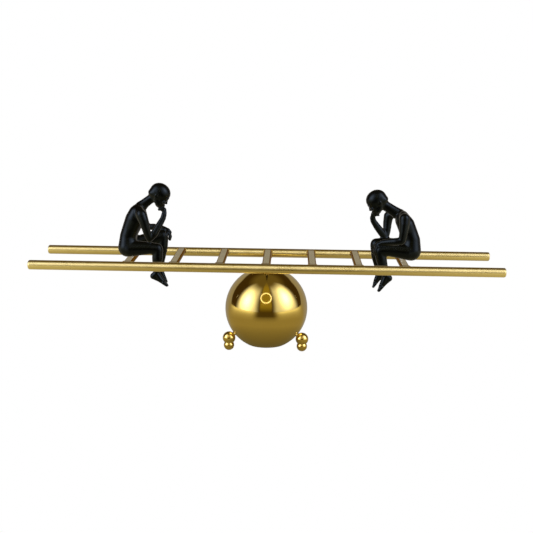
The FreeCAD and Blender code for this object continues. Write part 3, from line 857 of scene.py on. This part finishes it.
LEFT_HANDS = [
    [(28.4, -2.8, 37.4, 1.9), (27.6, -1.8, 40.0, 2.3), (25.6, -0.4, 41.6, 2.0)],
    [(27.4, -2.9, 40.2, 1.05), (25.2, -3.4, 41.0, 1.0), (23.4, -2.4, 40.6, 0.95)],
    [(27.8, -1.8, 41.2, 1.0), (25.8, -1.2, 42.6, 1.0), (23.8, -0.8, 41.8, 0.95)],
    [(27.2, 0.2, 40.8, 1.0), (25.0, 1.2, 41.8, 1.0), (23.4, 1.6, 40.8, 0.95)],
    [(26.8, -0.2, 38.8, 1.0), (24.6, 0.8, 39.8, 0.95), (23.0, 1.2, 39.6, 0.9)],
    [(27.6, 8.4, 21.4, 2.0), (29.6, 7.8, 20.6, 2.3), (31.4, 7.4, 19.0, 2.0)],
    [(31.0, 9.6, 18.9, 1.1), (32.0, 9.9, 15.8, 1.0), (31.4, 9.8, 13.2, 0.9)],
    [(31.5, 8.0, 18.6, 1.1), (32.6, 8.0, 15.2, 1.0), (31.8, 7.9, 12.4, 0.9)],
    [(31.5, 6.4, 18.6, 1.1), (32.5, 6.1, 15.2, 1.0), (31.8, 6.0, 12.6, 0.9)],
    [(31.0, 4.9, 19.0, 1.1), (31.9, 4.3, 16.0, 1.0), (31.4, 4.2, 13.6, 0.9)],
    [(29.6, 5.6, 20.4, 1.2), (29.4, 3.3, 18.6, 1.1), (29.6, 2.4, 16.6, 0.9)],
]
LEFT_HEAD = ((23.9, 0.0, 52.8), 30.0)

RIGHT_BODY = [
    [(-7.8, 4.8, 7.2, 8.8), (-8.0, 4.2, 16.0, 7.6), (-6.0, 4.0, 23.0, 7.0),
     (-3.0, 4.3, 29.8, 7.3), (0.2, 4.2, 35.0, 6.2)],
    [(-7.8, -4.8, 7.2, 8.8), (-8.0, -4.2, 16.0, 7.6), (-6.0, -4.0, 23.0, 7.0),
     (-3.0, -4.3, 29.8, 7.3), (0.2, -4.2, 35.0, 6.2)],
    [(-7.6, 0.0, 10.0, 8.1), (-7.9, 0.0, 16.0, 7.4), (-6.0, 0.0, 23.0, 6.8),
     (-3.0, 0.0, 29.8, 7.1), (0.2, 0.0, 35.0, 6.1)],
    [(1.2, 4.4, 32.0, 4.8), (-1.8, 2.6, 24.6, 4.8), (-4.8, 0.0, 16.0, 5.4)],
    [(1.2, -4.4, 32.0, 4.8), (-1.8, -2.6, 24.6, 4.8), (-4.8, 0.0, 16.0, 5.4)],
    [(0.6, -3.0, 38.4, 3.6), (0.2, -7.5, 37.6, 3.8), (-0.4, -11.2, 36.0, 4.3)],
    [(1.6, 3.0, 39.0, 3.6), (6.0, 7.2, 38.2, 3.8), (10.6, 10.0, 35.8, 4.2)],
    [(3.6, 0.0, 38.2, 5.2), (9.0, 0.0, 41.6, 4.6), (14.0, 0.0, 44.8, 4.4), (18.0, 0.0, 47.4, 4.6)],
]
RIGHT_NEAR_ARM = [
    [(-0.5, -11.8, 36.0, 4.7), (-0.4, -12.8, 31.5, 4.3), (0.2, -13.4, 24.0, 3.7), (1.0, -13.2, 17.6, 3.2)],
    [(1.3, -13.1, 16.8, 3.1), (6.0, -12.2, 16.2, 3.3), (12.0, -10.2, 15.4, 2.9), (18.0, -8.4, 14.4, 2.4)],
]
RIGHT_FAR_ARM = [
    [(11.2, 10.2, 35.2, 4.3), (12.0, 10.0, 29.0, 3.9), (12.4, 9.0, 22.0, 3.4), (13.4, 7.8, 17.0, 3.1)],
    [(13.8, 7.6, 16.6, 3.1), (17.2, 6.4, 21.0, 3.4), (21.6, 4.6, 26.6, 3.1),
     (25.0, 3.2, 31.6, 2.6), (25.7, 2.6, 34.6, 2.5)],
]
RIGHT_LEGS = [
    [(-5.2, -6.4, 6.6, 7.6), (3.0, -6.8, 7.4, 6.6), (11.0, -6.9, 7.9, 5.7), (19.0, -6.7, 7.4, 5.0)],
    [(19.6, -6.7, 6.4, 4.7), (17.6, -6.6, -1.0, 4.8), (15.6, -6.5, -8.0, 4.0), (13.6, -6.4, -14.8, 2.9)],
    [(-5.0, 6.2, 7.4, 7.0), (4.0, 6.2, 9.4, 6.7), (13.0, 5.8, 10.8, 5.9), (21.6, 5.3, 10.8, 5.2)],
    [(22.2, 5.3, 9.8, 4.7), (21.0, 5.4, 0.0, 4.6), (19.6, 5.6, -7.4, 3.6), (18.6, 5.6, -15.0, 2.4)],
]
RIGHT_FEET = [
    ((13.2, -6.4, -15.4), (10.6, -6.4, -17.2), (20.0, -6.2, -28.2), 1.2),
    ((18.4, 5.6, -15.6), (16.4, 5.6, -17.6), (23.8, 5.6, -27.4), 1.0),
]
RIGHT_HANDS = [
    [(18.4, -8.2, 13.6, 2.1), (20.4, -7.4, 12.8, 2.4), (22.0, -6.8, 11.2, 2.1)],
    [(21.4, -9.2, 11.2, 1.1), (22.8, -9.5, 8.2, 1.0), (22.0, -9.4, 5.2, 0.9)],
    [(22.2, -7.6, 10.8, 1.1), (23.8, -7.6, 7.2, 1.0), (23.2, -7.6, 3.8, 0.9)],
    [(22.4, -5.9, 10.8, 1.1), (24.2, -5.7, 7.2, 1.0), (23.9, -5.6, 3.8, 0.9)],
    [(22.2, -4.4, 11.2, 1.1), (24.2, -3.9, 8.2, 1.0), (24.3, -3.7, 5.4, 0.9)],
    [(20.2, -5.2, 13.0, 1.2), (22.4, -3.2, 12.0, 1.1), (23.8, -2.2, 10.2, 0.9)],
    [(25.4, 2.4, 35.0, 2.0), (25.2, 1.4, 37.4, 2.3), (23.4, 0.2, 39.0, 2.0)],
    [(25.0, -0.4, 38.2, 1.05), (22.8, -1.4, 39.4, 1.0), (21.0, -1.6, 38.8, 0.95)],
    [(25.6, 1.0, 38.8, 1.0), (23.6, 0.8, 40.2, 1.0), (21.6, 0.6, 39.4, 0.95)],
    [(25.2, 2.6, 38.2, 1.0), (23.0, 2.8, 39.4, 1.0), (21.2, 2.4, 38.6, 0.95)],
    [(24.6, 0.6, 36.4, 1.0), (22.4, -0.4, 37.2, 0.95), (20.8, -0.8, 37.2, 0.9)],
]
RIGHT_HEAD = ((22.7, 0.0, 49.0), 32.0)


def add_ball(centre, radius):
    bpy.ops.mesh.primitive_uv_sphere_add(segments=20, ring_count=12, radius=radius, location=centre)
    return bpy.context.object


def add_taper(start, start_radius, end, end_radius):
    """A cone from one centre to the other."""
    run = end - start
    turn = run.to_track_quat("Z", "Y").to_euler()
    bpy.ops.mesh.primitive_cone_add(vertices=20, radius1=start_radius, radius2=end_radius, depth=run.length,
                                    location=(start + end) / 2, rotation=turn)
    return bpy.context.object


def add_stroke(stations, spot):
    """A limb: rounded at each station, tapering in between."""
    pieces = []
    for f, s, h, radius in stations:
        pieces.append(add_ball(spot((f, s, h)), radius * MM))
    for (f, s, h, radius), (f2, s2, h2, radius2) in zip(stations, stations[1:]):
        pieces.append(add_taper(spot((f, s, h)), radius * MM, spot((f2, s2, h2)), radius2 * MM))
    return pieces


def add_lump(place, radii, tilt, spot, faces):
    """An ellipsoid with radii (forward, sideways, up), tilted forwards by tilt degrees."""
    bpy.ops.mesh.primitive_uv_sphere_add(segments=28, ring_count=18, radius=1.0, location=spot(place),
                                         rotation=(0, math.radians(tilt) * faces, 0))
    lump = bpy.context.object
    lump.scale = Vector(radii) * MM
    return lump


def join_clay(pieces, name):
    deselect()
    for piece in pieces:
        piece.select_set(True)
    bpy.context.view_layer.objects.active = pieces[0]
    bpy.ops.object.join()
    return start_piece(name)


def merge_clay(piece, voxel, smoothing, strength=0.5):
    apply_modifier(piece, "REMESH", mode="VOXEL", voxel_size=voxel)
    apply_modifier(piece, "SMOOTH", factor=strength, iterations=smoothing)


HEAD_LUMPS = [
    ((-0.6, 0.0, 2.2), (9.2, 7.9, 7.9), 0),
    ((-3.2, 0.0, 1.0), (6.6, 7.4, 7.0), 0),
    ((-5.8, 0.0, -1.5), (4.3, 6.5, 3.5), 0),
    ((2.4, 0.0, -1.4), (6.0, 6.2, 7.2), 0),
    ((3.6, 0.0, -6.0), (4.6, 5.0, 4.4), 20),
    ((6.4, 0.0, -9.0), (2.5, 2.9, 2.0), 0),
    ((1.2, 4.4, -5.6), (4.6, 1.6, 2.6), 30),
    ((1.2, -4.4, -5.6), (4.6, 1.6, 2.6), 30),
]
FACE_LUMPS = [
    ((7.6, 2.6, 0.7), (1.2, 2.9, 0.85), 0),
    ((7.6, -2.6, 0.7), (1.2, 2.9, 0.85), 0),
    ((6.4, 3.9, -3.0), (1.6, 1.9, 1.4), 0),
    ((6.4, -3.9, -3.0), (1.6, 1.9, 1.4), 0),
    ((7.9, 0.0, -1.6), (1.0, 0.95, 2.5), -18),
    ((8.5, 0.0, -3.4), (1.15, 1.1, 1.05), 0),
    ((7.9, 0.95, -3.7), (0.9, 0.75, 0.7), 0),
    ((7.9, -0.95, -3.7), (0.9, 0.75, 0.7), 0),
    ((7.9, 0.0, -6.1), (1.0, 2.1, 0.5), 0),
    ((7.8, 0.0, -7.1), (1.0, 1.8, 0.55), 0),
]
EYE_LUMPS = [
    ((6.9, 2.7, -0.9), (1.15, 1.35, 1.05), 0),
    ((6.9, -2.7, -0.9), (1.15, 1.35, 1.05), 0),
]


def turned(place, centre, tilt):
    """A place on the upright head, moved with the head's tilt and position."""
    angle = math.radians(tilt)
    f, s, h = place
    return (centre[0] + f * math.cos(angle) + h * math.sin(angle), centre[1] + s,
            centre[2] - f * math.sin(angle) + h * math.cos(angle))


def add_head_lumps(lumps, head, spot, faces):
    centre, tilt = head
    return [add_lump(turned(place, centre, tilt), radii, tilt + own, spot, faces)
            for place, radii, own in lumps]


def add_ears(head, spot, faces):
    """Each ear: a flat shell with a rim round its edge."""
    centre, tilt = head
    pieces = []
    for side in (-1, 1):
        shell = turned((-0.9, side * 6.5, -1.9), centre, tilt)
        pieces.append(add_lump(shell, (1.5, 0.6, 1.9), tilt + 12, spot, faces))
        rim = []
        for step in range(9):
            angle = math.radians(60 - 35 * step)
            f = -1.1 + 1.5 * math.cos(angle)
            h = -1.9 + 2.4 * math.sin(angle)
            f, s, h = turned((f, side * (7.5 + 0.42 * h - 0.25 * math.cos(angle)), h), centre, tilt)
            rim.append((f, s, h, EAR_RIM_RADIUS))
        pieces += add_stroke(rim, spot)
    return pieces


def add_foot(foot, spot):
    """Heel, arch, ball of the foot and five toes."""
    ankle, heel, toe, size = foot
    ankle, heel, toe = Vector(ankle), Vector(heel), Vector(toe)
    along = (toe - heel).normalized()
    across = Vector((0, 1, 0))
    sole = along.cross(across)
    if sole.z > 0:
        sole = -sole
    ball_of_foot = heel.lerp(toe, 0.70)
    arch = heel.lerp(toe, 0.42) - sole * 0.9

    def station(place, radius):
        return (place.x, place.y, place.z, radius * size)

    middle = heel.lerp(toe, 0.4)
    pieces = add_stroke([station(ankle, 2.5), station(heel, 2.5)], spot)
    pieces += add_stroke([station(ankle, 2.5), station(arch, 2.5), station(ball_of_foot, 1.9)], spot)
    pieces += add_stroke([station(heel, 2.4), station(middle, 1.8), station(ball_of_foot, 1.8)], spot)
    for number in range(5):
        sideways = across * (number - 2) * 1.05 * size
        root = ball_of_foot + sideways * 0.75
        reach = 0.97 - 0.035 * abs(number - 1)
        tip = heel.lerp(toe, reach) + sideways + sole * 0.35
        pieces += add_stroke([station(root, 1.55), station(tip, 0.95 if number else 1.15)], spot)
    return pieces


def make_figure(name, rung, strokes, feet, hands, head, side_y, faces):
    low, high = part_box(rung)
    seat = Vector(((low.x + high.x) / 2, side_y, high.z))

    def spot(place):
        f, s, h = place[:3]
        return seat + Vector((faces * f, s, h)) * MM

    deselect()
    pieces = []
    for stroke in strokes:
        pieces += add_stroke(stroke, spot)
    pieces += add_head_lumps(HEAD_LUMPS, head, spot, faces)
    body = join_clay(pieces, name)
    merge_clay(body, CLAY_VOXEL, CLAY_SMOOTHING)
    pieces = [body]
    for foot in feet:
        pieces += add_foot(foot, spot)
    for stroke in hands:
        pieces += add_stroke(stroke, spot)
    pieces += add_head_lumps(FACE_LUMPS + EYE_LUMPS, head, spot, faces)
    pieces += add_ears(head, spot, faces)
    figure = join_clay(pieces, name)
    merge_clay(figure, SKIN_VOXEL, SKIN_SMOOTHING, SKIN_SMOOTHING_STRENGTH)
    seat_figure(figure, seat, low, high)
    return figure


def seat_figure(figure, seat, low, high):
    """Presses the seated part flat against the top of its rung."""
    bpy.ops.mesh.primitive_cube_add(size=1, location=((low.x + high.x) / 2, 0, (seat.z + low.z) / 2),
                                    scale=(high.x - low.x, high.y - low.y, seat.z - low.z))
    cutter = bpy.context.object
    apply_modifier(figure, "BOOLEAN", operation="DIFFERENCE", object=cutter, solver="EXACT")
    bpy.data.objects.remove(cutter)


def make_figures():
    left = LEFT_BODY + LEFT_NEAR_ARM + LEFT_FAR_ARM + LEFT_LEGS
    piece = make_figure("thinking_figure_left", "rung_1", left, LEFT_FEET, LEFT_HANDS, LEFT_HEAD,
                        LEFT_FIGURE_Y, 1)
    finish_piece(piece, "black_gloss", "ladder", "figure_left", angle=180.0)
    right = RIGHT_BODY + RIGHT_NEAR_ARM + RIGHT_FAR_ARM + RIGHT_LEGS
    piece = make_figure("thinking_figure_right", "rung_7", right, RIGHT_FEET, RIGHT_HANDS, RIGHT_HEAD,
                        RIGHT_FIGURE_Y, -1)
    finish_piece(piece, "black_gloss", "ladder", "figure_right", angle=180.0)


def make_studio_and_object():
    place_camera()
    make_studio()
    finish_cad_nodes()
    for which in ("front", "rear"):
        make_rail(which)
    make_rungs()
    make_ball()
    make_feet()
    make_figures()


make_studio_and_object()
